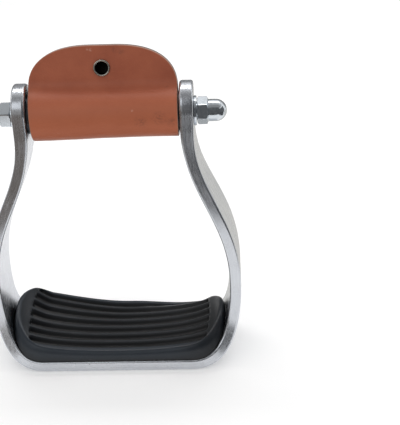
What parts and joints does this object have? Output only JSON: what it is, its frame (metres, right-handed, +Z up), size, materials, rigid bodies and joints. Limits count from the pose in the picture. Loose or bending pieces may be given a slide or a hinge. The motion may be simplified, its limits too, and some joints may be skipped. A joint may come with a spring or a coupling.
{
  "type": "western riding stirrup",
  "caption": "Bell-shaped riding stirrup: flat polished aluminium bar with a wide tread, ribbed rubber pad, and a leather-wrapped crossbar between two ears.",
  "frame": {"origin": "the middle of the flat underside of the tread plate", "axes": "+Z up from the tread to the crossbar, X along the crossbar bolt, +Y from the stirrup's front to its back"},
  "size_m": [0.134, 0.054, 0.1725],
  "materials": {
    "polished_aluminium": "polished, with satin edges",
    "plain_aluminium": "plain drawn tube",
    "bright_zinc_steel": "bright zinc plated",
    "nickel_brass": "nickel plated",
    "black_rubber": "satin black moulded rubber",
    "saddle_leather": "smooth oiled saddle leather with raw cut edges"
  },
  "bodies": {
    "stirrup": {"frame": "polished_aluminium", "tread_pad": "black_rubber", "pad_screw_1": "bright_zinc_steel", "pad_screw_2": "bright_zinc_steel", "pad_screw_3": "bright_zinc_steel", "pad_screw_4": "bright_zinc_steel", "pad_nut_1": "bright_zinc_steel", "pad_nut_2": "bright_zinc_steel", "pad_nut_3": "bright_zinc_steel", "pad_nut_4": "bright_zinc_steel", "crossbar_bolt": "bright_zinc_steel", "washer_right": "bright_zinc_steel", "washer_left": "bright_zinc_steel", "acorn_nut_right": "bright_zinc_steel", "acorn_nut_left": "bright_zinc_steel"},
    "sleeve": {"bolt_sleeve": "plain_aluminium"},
    "wrap": {"leather_wrap": "saddle_leather", "eyelet": "nickel_brass"}
  },
  "joints": [
    {"name": "sleeve_spin", "type": "hinge", "parent": "stirrup", "child": "sleeve", "pos_m": [0, 0, 0.139], "axis": [1, 0, 0], "continuous": true},
    {"name": "wrap_swing", "type": "hinge", "parent": "stirrup", "child": "wrap", "pos_m": [0, 0, 0.139], "axis": [1, 0, 0], "continuous": true}
  ]
}
